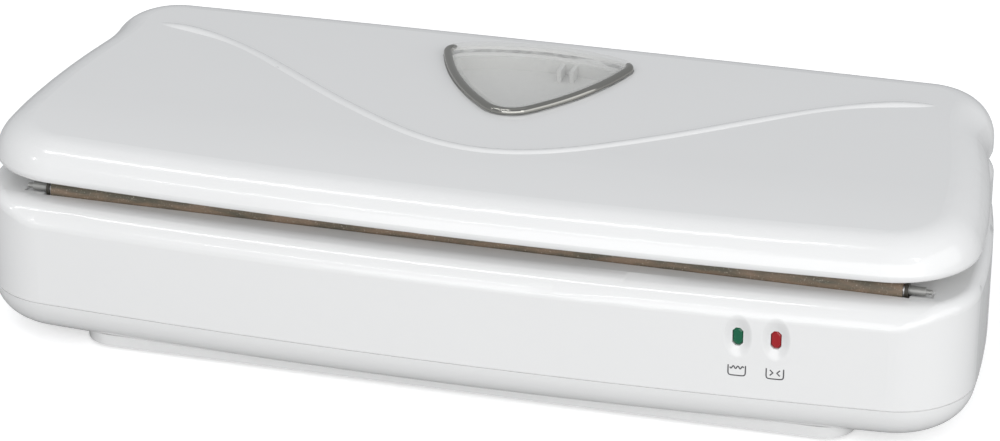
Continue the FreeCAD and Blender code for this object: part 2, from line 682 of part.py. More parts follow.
def lid_switches():
    """Pair of small switches under the deck, bored for their plungers."""
    bodies = []
    for x in (-PLUNGER_X, PLUNGER_X):
        d = SWITCH_DEPTH / 2
        body = box(x - 3.4, x + 3.4, PLUNGER_Y - d, PLUNGER_Y + d, SWITCH_TOP - SWITCH_HEIGHT, SWITCH_TOP)
        tabs = [box(x - 1.5, x + 1.5, PLUNGER_Y + y - 0.4, PLUNGER_Y + y + 0.4, SWITCH_TOP - SWITCH_HEIGHT - 5,
                    SWITCH_TOP - SWITCH_HEIGHT) for y in (-6, 6)]
        bore = rod(PLUNGER_R + PLUNGER_FIT, x, PLUNGER_Y, SWITCH_TOP - 5, SWITCH_TOP + 1)
        bodies.append(union(body, *tabs).cut(bore))
    return Part.makeCompound(bodies)


def plunger(x):
    """Round-topped plunger with a collar under the deck."""
    stem = rod(PLUNGER_R, x, PLUNGER_Y, SWITCH_TOP - 2, PLUNGER_TOP)
    stem = stem.makeFillet(1.2, rim(stem, PLUNGER_TOP))
    collar_z = DECK_Z - WALL - 0.3
    return union(stem, rod(PLUNGER_R + 1.2, x, PLUNGER_Y, collar_z - 1.2, collar_z))


def cord_gland():
    """Bush in the back wall with a flange inside."""
    out_y = REAR - GLAND_X ** 2 / (2 * REAR_BOW)
    back = V(0, 1, 0)
    bush = Part.makeCylinder(GLAND_R, WALL + 4, V(GLAND_X, out_y - WALL - 4, GLAND_Z), back)
    flange = Part.makeCylinder(GLAND_R + 2, 2, V(GLAND_X, out_y - WALL - 2.2, GLAND_Z), back)
    bore = Part.makeCylinder(GLAND_BORE, 20, V(GLAND_X, out_y - 15, GLAND_Z), back)
    return union(bush, flange).cut(bore)


def lid_top(y):
    """Height of the lid's top at a depth, level behind and rolling down in front, lid pressed flat."""
    if y >= LID_ROLL_Y:
        return LID_MID_Z + LID_SLOPE * y
    tilt = math.atan(LID_SLOPE)
    middle_y = LID_ROLL_Y + LID_ROLL_R * math.sin(tilt)
    middle_z = LID_MID_Z + LID_SLOPE * LID_ROLL_Y - LID_ROLL_R * math.cos(tilt)
    return middle_z + math.sqrt(LID_ROLL_R ** 2 - (y - middle_y) ** 2)


def lid_form(inset):
    """Outer (inset 0) or inner form of the lid."""
    rear, roll, mid, front = [V(-HALF - 5, y, lid_top(y) - inset) for y in (100, LID_ROLL_Y, -60, -100)]
    low_front, low_rear = V(front.x, front.y, 30), V(rear.x, rear.y, 30)
    sides = [Part.makeLine(rear, roll), Part.Arc(roll, mid, front).toShape()]
    sides += [Part.makeLine(a, b) for a, b in ((front, low_front), (low_front, low_rear), (low_rear, rear))]
    under = Part.Face(Part.Wire(sides)).extrude(V(WIDTH + 10, 0, 0))
    form = slab(LID_PLAN, inset, 40, 120).common(under).Solids[0]
    edges = [edge for face in form.Faces if face.CenterOfMass.z > LID_Z for edge in face.Edges]
    outer = [edge for edge in edges if sum(edge.isSame(other) for other in edges) == 1]
    form = form.makeFillet(LID_EDGE_R - inset, outer)
    return form.cut(box(-HALF, HALF, -100, 100, 30, LID_Z))


def lifted(shape):
    """Lid piece turned from pressed flat to where the lid rests."""
    return shape.rotate(V(0, HINGE_Y, HINGE_Z), V(-1, 0, 0), LID_LIFT)


def on_roof(shape):
    """Piece drawn on a level roof at z = 0, laid on the sloping lid."""
    shape = shape.translate(V(0, 0, lid_top(WINDOW_CORNER_Y)))
    pivot = V(0, WINDOW_CORNER_Y, lid_top(WINDOW_CORNER_Y))
    return shape.rotate(pivot, ALONG, math.degrees(math.atan(LID_SLOPE)))


def crease():
    """Slender raised bead swept in a double curve across the lid."""
    half = [V(x, y, lid_top(y) - CREASE_R + CREASE_RISE) for x, y in CREASE]
    half[-1].z -= 2 * CREASE_RISE
    points = [V(-p.x, p.y, p.z) for p in reversed(half[1:])] + half
    path = Part.BSplineCurve()
    path.interpolate(points)
    start = Part.Wire(Part.makeCircle(CREASE_R, points[0], path.tangent(path.FirstParameter)[0]))
    return Part.Wire(path.toShape()).makePipeShell([start], True, False)


def knuckles(x):
    """Pair of lid knuckles either side of a lug, webbed to the back wall."""
    solids = []
    for side in (-1, 1):
        near = x + side * (LUG_WIDTH / 2 + KNUCKLE_GAP)
        x0, x1 = sorted((near, near + side * KNUCKLE_WIDTH))
        web = box(x0, x1, HINGE_Y - KNUCKLE_R, REAR - WALL, HINGE_Z, HINGE_Z + 8)
        solids.append(union(web, cross_rod(KNUCKLE_R, x0, x1, HINGE_Y, HINGE_Z)))
    return solids


def lid_shell():
    """Crowned shell with crease, window seat, knuckles and screw bosses."""
    outer = lid_form(0)
    outer = outer.makeFillet(LID_UNDER_R, rim(outer, LID_Z))
    inner = lid_form(WALL)
    shell = union(outer, crease()).cut(inner)
    posts = [p.common(inner) for p in bosses(LINER_SITES, BOSS_R, LINER_Z + LINER_T, 110)]
    shell = union(shell, *posts, *knuckles(-HINGE_X), *knuckles(HINGE_X))
    cuts = [on_roof(slab(WINDOW, -WINDOW_FIT, -WINDOW_SEAT, 8)), on_roof(slab(WINDOW, WINDOW_LEDGE, -9, 8))]
    cuts += bosses(LINER_SITES, SCREW_R + 0.05, LINER_Z, LINER_Z + LINER_T + 7)
    reach = HINGE_X + LUG_WIDTH / 2 + KNUCKLE_GAP + KNUCKLE_WIDTH
    for x in (-HINGE_X, HINGE_X):
        half = LUG_WIDTH / 2 + KNUCKLE_GAP
        gap = KNUCKLE_R + 0.6
        cuts.append(box(x - half, x + half, HINGE_Y - gap, REAR + 5, LID_Z - 5, HINGE_Z + gap))
    cuts.append(cross_rod(PIN_R + PRESS_FIT, -reach - 1, reach + 1, HINGE_Y, HINGE_Z))
    return lifted(shell.cut(cuts))


def lid_liner():
    """Inner plate with the strip channel, the upper basin and the switch pegs."""
    inside = lid_form(WALL + 0.3)
    low, high = LINER_Z, LINER_Z + LINER_T
    plate = inside.common(box(-HALF, HALF, -100, LINER_REAR, low, high))
    cover = box(BAR_START - 2, BAR_END + 2, BAR_Y - 6, BAR_Y + 6, low, STRIP_TOP + 1).common(inside)
    dome = basin_block(0, low, LINER_DOME_Z)
    pegs = [rod(3, x, PLUNGER_Y, PEG_LOW_Z, low) for x in (-PLUNGER_X, PLUNGER_X)]
    liner = union(plate, cover, dome, *pegs)
    cuts = [box(BAR_START, BAR_END, BAR_Y - STRIP_HALF - 0.2, BAR_Y + STRIP_HALF + 0.2, low - 1, STRIP_TOP)]
    cuts.append(basin_block(-1.6, low - 1, LINER_DOME_Z - 1.6))
    cuts += bosses(LINER_SITES, SCREW_R + 0.3, low - 1, high + 1)
    return lifted(liner.cut(cuts))


def lid_gasket():
    """Soft ring under the liner, resting on the lower gasket at its rear run."""
    rear_run = BASIN_REAR + GASKET_OUT + GASKET_WIDTH
    low = GASKET_TOP + GASKET_REST_GAP - (HINGE_Y - rear_run) * TILT
    ring = gasket_ring(low, LINER_Z, GASKET_SIDE)
    return lifted(ring.makeFillet(1.2, rim(ring, low)))


def pressure_strip():
    """Soft strip in the liner that presses the bag on the bar."""
    x0, x1 = BAR_START + 0.4, BAR_END - 0.4
    strip = box(x0, x1, BAR_Y - STRIP_HALF, BAR_Y + STRIP_HALF, STRIP_LOW, STRIP_TOP)
    long_edges = [e for e in strip.Edges if e.Length > 100 and abs(e.CenterOfMass.z - STRIP_LOW) < 1e-4]
    return lifted(strip.makeFillet(0.7, long_edges))


def trim_band(z0, z1, grow):
    """Band along the two front sides of the window."""
    band = slab(WINDOW, TRIM_INSET - grow, z0, z1).cut(slab(WINDOW, TRIM_INSET + TRIM_WIDTH + grow, z0, z1))
    return band.common(box(-60, 60, -60, WINDOW_CORNER_Y + grow, z0 - 1, z1 + 1))


def window_lens():
    """Clear lens standing proud of the lid, grooved for the trim."""
    lens = slab(WINDOW, 0, -WINDOW_SEAT, WINDOW_RISE)
    lens = lens.makeFillet(0.9, rim(lens, WINDOW_RISE))
    return lifted(on_roof(lens.cut(trim_band(WINDOW_RISE - TRIM_SUNK, WINDOW_RISE + 2, 0.02))))


def window_trim():
    """Bright band let into the front sides of the lens."""
    band = trim_band(WINDOW_RISE - TRIM_SUNK, WINDOW_RISE + TRIM_PROUD, 0)
    return lifted(on_roof(band.makeFillet(0.5, rim(band, WINDOW_RISE + TRIM_PROUD))))


def window_well():
    """Shallow tub under the window with two ribs on its back wall."""
    top = -WALL
    tub = slab(WINDOW, WINDOW_LEDGE, -WELL_DEPTH, top)
    flange = slab(WINDOW, 0, top - WELL_WALL, top)
    tub = union(tub, flange).cut(slab(WINDOW, WINDOW_LEDGE + WELL_WALL, WELL_WALL - WELL_DEPTH, top + 1))
    back = WINDOW_CORNER_Y + 3
    ribs = [box(x - 0.8, x + 0.8, back - 2, back + 6, WELL_WALL - WELL_DEPTH - 0.5, top - 0.6) for x in (8, 13)]
    ribs = [r.common(slab(WINDOW, WINDOW_LEDGE + 0.5, -WELL_DEPTH, top)) for r in ribs]
    return lifted(on_roof(union(tub, *ribs)))


def hinge_pins():
    """Two pins, each through a lug and its two knuckles."""
    reach = LUG_WIDTH / 2 + KNUCKLE_GAP + KNUCKLE_WIDTH
    pins = []
    for x in (-HINGE_X, HINGE_X):
        pin = cross_rod(PIN_R, x - reach, x + reach, HINGE_Y, HINGE_Z)
        pins.append(pin.makeFillet(0.4, [e for e in pin.Edges if len(e.Vertexes) == 1]))
    return Part.makeCompound(pins)


def build():
    """All nodes by name."""
    core, coil = transformer()
    board, board_parts, lamp_board, lamp_lights = boards()
    discs, terminals = bar_ends()
    return {
        "base_tray": base_tray(),
        "feet": feet(),
        "housing_screws": screws(SCREW_SITES, HEAD_SEAT_Z, BOSS_SPLIT_Z + SCREW_BITE - HEAD_SEAT_Z),
        "upper_housing": upper_housing(),
        "base_gasket": base_gasket(),
        "seal_carrier": seal_carrier(),
        "heating_band": heating_band(),
        "ptfe_tape": ptfe_tape(),
        "bar_discs": discs,
        "bar_terminals": terminals,
        "green_lens": lamp_lens(LAMP_X - LAMP_PITCH / 2),
        "red_lens": lamp_lens(LAMP_X + LAMP_PITCH / 2),
        "lamp_board": lamp_board,
        "lamp_lights": lamp_lights,
        "control_board": board,
        "board_parts": board_parts,
        "suction_filter": suction_filter(),
        "port_nozzle": port_nozzle(),
        "pump_head": pump_head(),
        "pump_motor": pump_motor(),
        "pump_mount": pump_mount(),
        "pump_hose": pump_hose(),
        "transformer_core": core,
        "transformer_coil": coil,
        "vent_valve": vent_valve(),
        "vacuum_switch": vacuum_switch(),
        "lid_switches": lid_switches(),
        "left_plunger": plunger(-PLUNGER_X),
        "right_plunger": plunger(PLUNGER_X),
        "cord_gland": cord_gland(),
        "lid_shell": lid_shell(),
        "lid_liner": lid_liner(),
        "lid_gasket": lid_gasket(),
        "pressure_strip": pressure_strip(),
        "window_lens": window_lens(),
        "window_trim": window_trim(),
        "window_well": window_well(),
        "liner_screws": lifted(screws(LINER_SITES, LINER_Z, LINER_T + 6)),
        "hinge_pins": hinge_pins(),
    }


if __name__ == "__main__":
    os.makedirs("parts", exist_ok=True)
    for name, shape in build().items():
        print(name, len(shape.Solids), shape.isValid(), round(shape.Volume))
        shape.exportStep("parts/%s.step" % name)
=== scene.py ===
import json
import logging
import math
from dataclasses import dataclass, field
from enum import Enum

import bpy
import numpy as np
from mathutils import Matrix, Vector


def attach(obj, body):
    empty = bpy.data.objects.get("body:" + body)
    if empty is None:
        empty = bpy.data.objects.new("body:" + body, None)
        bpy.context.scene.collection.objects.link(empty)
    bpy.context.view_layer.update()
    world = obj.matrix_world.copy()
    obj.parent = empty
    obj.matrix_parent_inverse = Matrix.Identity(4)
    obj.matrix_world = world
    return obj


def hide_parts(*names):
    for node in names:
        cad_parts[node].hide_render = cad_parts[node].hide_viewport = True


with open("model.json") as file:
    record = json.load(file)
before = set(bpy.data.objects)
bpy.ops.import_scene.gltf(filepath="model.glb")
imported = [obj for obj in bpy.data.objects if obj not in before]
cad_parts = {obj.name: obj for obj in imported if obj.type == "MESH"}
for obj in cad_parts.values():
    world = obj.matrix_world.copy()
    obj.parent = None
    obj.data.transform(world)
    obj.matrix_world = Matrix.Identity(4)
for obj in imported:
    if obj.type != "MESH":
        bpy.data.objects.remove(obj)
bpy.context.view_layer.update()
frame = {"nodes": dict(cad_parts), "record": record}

log = logging.getLogger("sealer")
logging.basicConfig(level=logging.INFO, format="%(name)s %(message)s")

Colour = tuple[float, float, float]
Point = tuple[float, float, float]

# Middles of the two lamps, x and z in metres
LAMPS = ((0.1069, 0.043), (0.1205, 0.043))
# Pit round each lamp: half width, half height and depth in metres
PIT_HALF = (0.0052, 0.0086)
PIT_DEPTH = 0.0019
# Pits fade in over the front, as gain * y - start held between 0 and 1
FRONT_GAIN, FRONT_START = -100.0, 5.0
# Colour sockets of a Mix node
MIX_FIRST, MIX_SECOND, MIX_RESULT = 6, 7, 2
MILLIMETRE = 0.001
# Size of a tube's last ring, as a share of its section
END_SHARE = 1e-3


class Body(Enum):
    """Rigid bodies of the sealer."""

    BASE = "base"
    LID = "lid"


class Field:
    """A shader socket that takes part in arithmetic."""

    def __init__(self, tree: bpy.types.NodeTree, socket: bpy.types.NodeSocket) -> None:
        """Wrap a socket.

        Args:
            tree: node tree that owns the socket.
            socket: output socket to read.
        """
        self.tree = tree
        self.socket = socket

    def _math(self, operation: str, first: "Field | float", second: "Field | float") -> "Field":
        """Join two values by one math node.

        Args:
            operation: name of the operation.
            first: left value.
            second: right value.

        Returns:
            The result as a field.
        """
        node = self.tree.nodes.new("ShaderNodeMath")
        node.operation = operation
        for slot, value in zip(node.inputs, (first, second)):
            if isinstance(value, Field):
                self.tree.links.new(value.socket, slot)
            else:
                slot.default_value = value
        return Field(self.tree, node.outputs[0])

    def __add__(self, other: "Field | float") -> "Field":
        """Sum."""
        return self._math("ADD", self, other)

    __radd__ = __add__

    def __sub__(self, other: "Field | float") -> "Field":
        """Difference."""
        return self._math("SUBTRACT", self, other)

    def __rsub__(self, other: float) -> "Field":
        """Difference from a number."""
        return self._math("SUBTRACT", other, self)

    def __mul__(self, other: "Field | float") -> "Field":
        """Product."""
        return self._math("MULTIPLY", self, other)

    __rmul__ = __mul__

    def __truediv__(self, other: "Field | float") -> "Field":
        """Quotient."""
        return self._math("DIVIDE", self, other)

    def __rtruediv__(self, other: float) -> "Field":
        """Number over the field."""
        return self._math("DIVIDE", other, self)

    def __pow__(self, other: float) -> "Field":
        """Power."""
        return self._math("POWER", self, other)

    def at_least(self, low: float) -> "Field":
        """Larger of the field and a number."""
        return self._math("MAXIMUM", self, low)

    def at_most(self, high: float) -> "Field":
        """Smaller of the field and a number."""
        return self._math("MINIMUM", self, high)

    def wave(self) -> "Field":
        """Sine of the field."""
        return self._math("SINE", self, 0.0)


class Sheet:
    """Node tree of one material or world."""

    def __init__(self, owner: bpy.types.Material | bpy.types.World) -> None:
        """Start with an empty tree.

        Args:
            owner: material or world that the nodes belong to.
        """
        self.owner = owner
        self.owner.use_nodes = True
        self.tree = self.owner.node_tree
        self.tree.nodes.clear()

    @classmethod
    def named(cls, name: str) -> "Sheet":
        """Start a new material.

        Args:
            name: name of the material.

        Returns:
            Its empty sheet.
        """
        return cls(bpy.data.materials.new(name))

    def node(self, kind: str, settings: dict | None = None, inputs: dict | None = None) -> bpy.types.Node:
        """Make any node from its type, settings and inputs.

        Args:
            kind: node type.
            settings: attributes to set.
            inputs: sockets by name or number, each a Field, a socket or a constant.

        Returns:
            The new node.
        """
        made = self.tree.nodes.new(kind)
        for key, value in (settings or {}).items():
            setattr(made, key, value)
        for key, value in (inputs or {}).items():
            if isinstance(value, Field):
                value = value.socket
            if isinstance(value, bpy.types.NodeSocket):
                self.tree.links.new(value, made.inputs[key])
            else:
                made.inputs[key].default_value = value
        return made

    def out(self, made: bpy.types.Node, name: str | int = 0) -> Field:
        """Read one output of a node as a field.

        Args:
            made: node to read.
            name: name or number of the output.

        Returns:
            The output.
        """
        return Field(self.tree, made.outputs[name])

    def place(self) -> bpy.types.NodeSocket:
        """Find the point on the object.

        Returns:
            Its position in metres.
        """
        return self.node("ShaderNodeTexCoord").outputs["Object"]

    def noise(self, scale: float, detail: float = 3.0, rough: float = 0.5,
              spot: bpy.types.NodeSocket | None = None) -> Field:
        """Noise between 0 and 1 at a number of waves per metre.

        Args:
            scale: waves per metre.
            detail: octaves.
            rough: share of the finer octaves.
            spot: place to read it at, or the point on the object.

        Returns:
            The noise.
        """
        inputs = {"Vector": spot or self.place(), "Scale": scale, "Detail": detail, "Roughness": rough}
        return self.out(self.node("ShaderNodeTexNoise", None, inputs), 0)

    def edge(self, radius: float) -> Field:
        """Find the sharp edges.

        Args:
            radius: reach of the mask in metres.

        Returns:
            Mask that is 1 on sharp edges and 0 on smooth faces.
        """
        bevel = self.node("ShaderNodeBevel", {"samples": 4}, {"Radius": radius})
        plain = self.node("ShaderNodeNewGeometry").outputs["Normal"]
        dot = self.node("ShaderNodeVectorMath", {"operation": "DOT_PRODUCT"}, {0: bevel.outputs[0], 1: plain})
        return ((1.0 - self.out(dot, "Value")) * 3.0).at_most(1.0)

    def tint(self, factor: Field, first: Colour | bpy.types.NodeSocket,
             second: Colour) -> bpy.types.NodeSocket:
        """Blend two colours.

        Args:
            factor: share of the second colour.
            first: colour at 0, or the socket that gives it.
            second: colour at 1.

        Returns:
            The blend.
        """
        start = first if isinstance(first, bpy.types.NodeSocket) else (*first, 1.0)
        inputs = {"Factor": factor, MIX_FIRST: start, MIX_SECOND: (*second, 1.0)}
        return self.node("ShaderNodeMix", {"data_type": "RGBA"}, inputs).outputs[MIX_RESULT]

    def bump(self, height: Field, depth: float) -> bpy.types.NodeSocket:
        """Turn a height into a normal.

        Args:
            height: height field.
            depth: metres for each unit of height.

        Returns:
            The normal.
        """
        made = self.node("ShaderNodeBump", None, {"Height": height, "Distance": depth, "Strength": 1.0})
        return made.outputs[0]

    def close(self, surface: bpy.types.NodeSocket) -> bpy.types.Material:
        """Send a shader to the output of a material.

        Args:
            surface: shader to show.

        Returns:
            The finished material.
        """
        self.node("ShaderNodeOutputMaterial", None, {"Surface": surface})
        return self.owner


@dataclass(frozen=True)
class Finish:
    """Moulded or metal surface with grain, gloss swing and worn edges."""

    name: str
    colour: Colour
    roughness: float
    metallic: float = 0.0
    swing: float = 0.06
    mottle: float = 0.04
    grain: float = 900.0
    depth: float = 0.00002
    coat: float = 0.0
    wear: Colour | None = None
    wear_width: float = 0.0004
    dents: tuple[tuple[float, float], ...] = ()
    pit_power: float = 1.6
    broad_waves: float = 28.0
    patch_waves: float = 160.0
    worn_rough: float = 0.15
    coat_rough: float = 0.05

    def pits(self, sheet: Sheet) -> Field:
        """Shallow oval pits in the front, -depth (1 - u^2 - v^2)^power about each middle, in metres.

        Args:
            sheet: node tree to add to.

        Returns:
            Height field, zero outside the pits.
        """
        split = sheet.node("ShaderNodeSeparateXYZ", None, {0: sheet.place()})
        front = (sheet.out(split, "Y") * FRONT_GAIN - FRONT_START).at_least(0.0).at_most(1.0)
        sum_of_pits: Field | float = 0.0
        for x, z in self.dents:
            u, v = (sheet.out(split, "X") - x) / PIT_HALF[0], (sheet.out(split, "Z") - z) / PIT_HALF[1]
            sum_of_pits = (1.0 - u * u - v * v).at_least(0.0) ** self.pit_power + sum_of_pits
        return front * sum_of_pits * -PIT_DEPTH

    def material(self) -> bpy.types.Material:
        """Build the node material.

        Returns:
            The material.
        """
        sheet = Sheet.named(self.name)
        broad = sheet.noise(self.broad_waves, 4.0)
        fine = sheet.noise(self.grain, 3.0)
        dark = tuple(c * (1.0 - 2.0 * self.mottle) for c in self.colour)
        colour = sheet.tint((broad * 0.7 + fine * 0.3), dark, self.colour)
        rough = self.roughness + (broad - 0.5) * self.swing + (fine - 0.5) * self.swing
        if self.wear:
            patchy = (sheet.noise(self.patch_waves, 4.0) * 1.6 - 0.4).at_least(0.0).at_most(1.0)
            mask = sheet.edge(self.wear_width) * patchy
            colour = sheet.tint(mask, colour, self.wear)
            rough = rough + mask * self.worn_rough
        height = fine * self.depth
        if self.dents:
            height = height + self.pits(sheet)
        inputs = {"Base Color": colour, "Roughness": rough.at_least(0.03).at_most(1.0),
                  "Metallic": self.metallic, "Normal": sheet.bump(height, 1.0),
                  "Coat Weight": self.coat, "Coat Roughness": self.coat_rough}
        return sheet.close(sheet.node("ShaderNodeBsdfPrincipled", None, inputs).outputs[0])


@dataclass(frozen=True)
class Weave:
    """Coated glass cloth, brown with crossing threads and stains, painted shade darkening its top to olive,
    and bright specks of painted glint.
    """

    name: str
    colour: Colour
    # The olive colour is the cloth's own tone in unstained patches and the painted shade on the top of the
    # tape.
    olive_and_shade: Colour = (0.105, 0.1, 0.072)
    thread: float = 0.00055
    # Height above which the tape stays olive as painted shade under the lid's edge, and how fast that shade
    # fades in.
    shade_height: float = 0.0624
    # Colour of painted glints: bright specks that stand in for light catching the cloth.
    glint_speck: Colour = (0.62, 0.56, 0.48)
    relief: float = 0.00006
    stain_waves: float = 55.0
    stain_stretch: float = 4.0
    glint_speck_waves: float = 1500.0
    shade_gain: float = -380.0

    def material(self) -> bpy.types.Material:
        """Build the node material.

        Returns:
            The material.
        """
        sheet = Sheet.named(self.name)
        split = sheet.node("ShaderNodeSeparateXYZ", None, {0: sheet.place()})
        pitch = 2.0 * math.pi / self.thread
        warp = (sheet.out(split, "X") * pitch).wave()
        weft = ((sheet.out(split, "Y") + sheet.out(split, "Z")) * pitch).wave()
        cloth = warp * weft * 0.5 + 0.5
        drawn_out = {0: sheet.out(split, "X"), 1: sheet.out(split, "Z") * self.stain_stretch}
        along = sheet.node("ShaderNodeCombineXYZ", None, drawn_out)
        stain = sheet.noise(self.stain_waves, 4.0, 0.6, along.outputs[0])
        # Painted shade: this mask is 1 on the lower flank and 0 on the top, so the top stays darker where the
        # lid shades it.
        low = ((sheet.out(split, "Z") - self.shade_height) * self.shade_gain).at_least(0.0).at_most(1.0)
        # Painted glints: scattered bright specks, also a little glossier.
        glint_speck = ((sheet.noise(self.glint_speck_waves, 2.0) - 0.6) * 6.0).at_least(0.0).at_most(1.0)
        # Real stains mixed with the painted shade of the top.
        burn_and_shade = ((stain - 0.42) * 4.5 + low * 0.5 - 0.25).at_least(0.0).at_most(1.0)
        base = sheet.tint((burn_and_shade * 0.85 + cloth * 0.15).at_most(1.0), self.olive_and_shade, self.colour)
        inputs = {"Base Color": sheet.tint(glint_speck * 0.5, base, self.glint_speck), "Roughness": 0.5 - glint_speck * 0.2,
                  "Normal": sheet.bump(cloth, self.relief)}
        return sheet.close(sheet.node("ShaderNodeBsdfPrincipled", None, inputs).outputs[0])


@dataclass(frozen=True)
class Clear:
    """Clear plastic: mostly see-through, with a gloss layer that scuffs make thicker and that is thickened
    along the edges as painted sheen.
    """

    name: str
    colour: Colour
    roughness: float = 0.05
    veil: float = 0.13
    scuff_waves: float = 350.0
    scuff_veil: float = 0.3
    # Reach and share of the painted sheen along the lens edges.
    sheen_reach: float = 0.0012
    edge_sheen: float = 0.35
    ripple: float = 0.00001

    def material(self) -> bpy.types.Material:
        """Build the node material.

        Returns:
            The material.
        """
        sheet = Sheet.named(self.name)
        scuff = (sheet.noise(self.scuff_waves, 5.0, 0.7) - 0.55).at_least(0.0)
        through = sheet.node("ShaderNodeBsdfTransparent", None, {"Color": (*self.colour, 1.0)})
        colour = sheet.tint(sheet.noise(60.0), tuple(c * 0.94 for c in self.colour), self.colour)
        inputs = {"Base Color": colour, "Roughness": self.roughness + scuff * 0.3, "Coat Weight": 1.0,
                  "Normal": sheet.bump(sheet.noise(120.0), self.ripple)}
        gloss = sheet.node("ShaderNodeBsdfPrincipled", None, inputs)
        # Painted sheen: the white gloss layer thickens along the lens edges, standing in for the light they
        # catch; scuffs thicken it as real wear.
        share = self.veil + sheet.edge(self.sheen_reach) * self.edge_sheen + scuff * self.scuff_veil
        layers = {0: share, 1: through.outputs[0], 2: gloss.outputs[0]}
        return sheet.close(sheet.node("ShaderNodeMixShader", None, layers).outputs[0])


@dataclass(frozen=True)
class Jewel:
    """Tinted lamp lens: dark body under a hard coat, with painted glint that lightens its bevel edges and,
    weakly, random spots.
    """

    name: str
    colour: Colour
    glint: Colour
    # Reach of the painted glint along the bevel.
    glint_reach: float = 0.0008
    ripple: float = 0.00003

    def material(self) -> bpy.types.Material:
        """Build the node material.

        Returns:
            The material.
        """
        sheet = Sheet.named(self.name)
        # Painted glint: the bevel edges and weaker random spots are tinted towards the lighter glint colour.
        depth = (sheet.edge(self.glint_reach) + sheet.noise(700.0, 2.0) * 0.3).at_most(1.0)
        inputs = {"Base Color": sheet.tint(depth, self.colour, self.glint), "Roughness": 0.12 + depth * 0.08,
                  "Coat Weight": 0.25, "Coat Roughness": 0.05, "IOR": 1.4,
                  "Normal": sheet.bump(sheet.noise(500.0), self.ripple)}
        return sheet.close(sheet.node("ShaderNodeBsdfPrincipled", None, inputs).outputs[0])


FINISHES: dict[str, Finish | Weave | Clear | Jewel] = {
    "white_shell": Finish("white_shell", (0.84, 0.84, 0.835), 0.16, swing=0.05, mottle=0.012, grain=2600.0,
                          depth=0.000004, coat=0.25, wear=(0.9, 0.9, 0.89), dents=LAMPS),
    "liner_plastic": Finish("liner_plastic", (0.8, 0.8, 0.79), 0.4, grain=1800.0, depth=0.00002,
                            wear=(0.7, 0.7, 0.7)),
    "gasket_rubber": Finish("gasket_rubber", (0.035, 0.035, 0.036), 0.85, mottle=0.2, grain=2200.0,
                            depth=0.00012),
    "strip_silicone": Finish("strip_silicone", (0.45, 0.12, 0.07), 0.5, mottle=0.08, grain=1500.0,
                             depth=0.00002),
    "foot_rubber": Finish("foot_rubber", (0.03, 0.03, 0.03), 0.7, mottle=0.15, grain=1600.0, depth=0.00004),
    "steel": Finish("steel", (0.55, 0.55, 0.56), 0.28, metallic=1.0, swing=0.12, wear=(0.75, 0.75, 0.75)),
    "terminal_metal": Finish("terminal_metal", (0.5, 0.5, 0.48), 0.45, metallic=0.5, swing=0.2, mottle=0.3,
                             wear=(0.85, 0.85, 0.85)),
    "bar_alloy": Finish("bar_alloy", (0.5, 0.5, 0.5), 0.35, metallic=1.0, swing=0.1, wear=(0.7, 0.7, 0.7)),
    "woven_tape": Weave("woven_tape", (0.27, 0.19, 0.13)),
    "dark_disc": Finish("dark_disc", (0.045, 0.04, 0.03), 0.5, mottle=0.2, wear=(0.12, 0.11, 0.1)),
    "green_jewel": Jewel("green_jewel", (0.004, 0.105, 0.05), (0.012, 0.17, 0.085)),
    "red_jewel": Jewel("red_jewel", (0.33, 0.009, 0.014), (0.42, 0.02, 0.025)),
    "clear_lens": Clear("clear_lens", (0.97, 0.97, 0.965)),
    "chrome_trim": Finish("chrome_trim", (0.36, 0.355, 0.33), 0.07, metallic=1.0, swing=0.05, depth=0.000004,
                          wear=(0.6, 0.6, 0.58), wear_width=0.0002),
    "board": Finish("board", (0.02, 0.14, 0.05), 0.4, mottle=0.15),
    "components": Finish("components", (0.05, 0.05, 0.055), 0.45, mottle=0.15),
    "core_iron": Finish("core_iron", (0.1, 0.1, 0.11), 0.45, metallic=0.6, mottle=0.2),
    "coil_wrap": Finish("coil_wrap", (0.5, 0.36, 0.08), 0.4, mottle=0.1),
    "pump_plastic": Finish("pump_plastic", (0.12, 0.12, 0.125), 0.5, mottle=0.1),
    "plunger_plastic": Finish("plunger_plastic", (0.7, 0.7, 0.68), 0.35),
}
INK = Finish("print_ink", (0.1, 0.1, 0.105), 0.45, mottle=0.1, depth=0.000002)


@dataclass
class Dresser:
    """Gives every CAD node the finish of its record slot."""

    made: dict[str, bpy.types.Material] = field(default_factory=dict)

    def finish(self, name: str) -> bpy.types.Material:
        """Material of a slot, made once.

        Args:
            name: slot name.

        Returns:
            The material.
        """
        if name not in self.made:
            self.made[name] = FINISHES[name].material()
        return self.made[name]

    def dress(self) -> None:
        """Paint all CAD nodes."""
        for part in frame["record"]["subparts"]:
            mesh = frame["nodes"][part["node"]].data
            mesh.materials.clear()
            mesh.materials.append(self.finish(part["material_slot"]))
            log.info("dressed %s as %s", part["node"], part["material_slot"])


def mesh_piece(name: str, body: Body, parts: list[tuple[np.ndarray, np.ndarray]],
               material: bpy.types.Material) -> bpy.types.Object:
    """Join numpy surfaces into one piece that rides on a body.

    Args:
        name: name of the piece.
        body: body it moves with.
        parts: vertex and quad arrays, in metres.
        material: finish of the piece.

    Returns:
        The new object.
    """
    starts = np.cumsum([0] + [len(points) for points, _ in parts])
    points = np.concatenate([part[0] for part in parts])
    quads = np.concatenate([part[1] + start for part, start in zip(parts, starts)])
    mesh = bpy.data.meshes.new(name)
    mesh.from_pydata(points.tolist(), [], quads.tolist())
    mesh.polygons.foreach_set("use_smooth", np.full(len(quads), True))
    mesh.materials.append(material)
    mesh.update()
    made = bpy.data.objects.new(name, mesh)
    bpy.context.scene.collection.objects.link(made)
    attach(made, body.value)
    log.info("piece %s with %d faces", name, len(quads))
    return made


def direction(path: np.ndarray) -> np.ndarray:
    """Unit tangent along a path.

    Args:
        path: points of the path.

    Returns:
        One unit vector for each point.
    """
    along = np.gradient(path, axis=0)
    return along / np.linalg.norm(along, axis=1)[:, None]


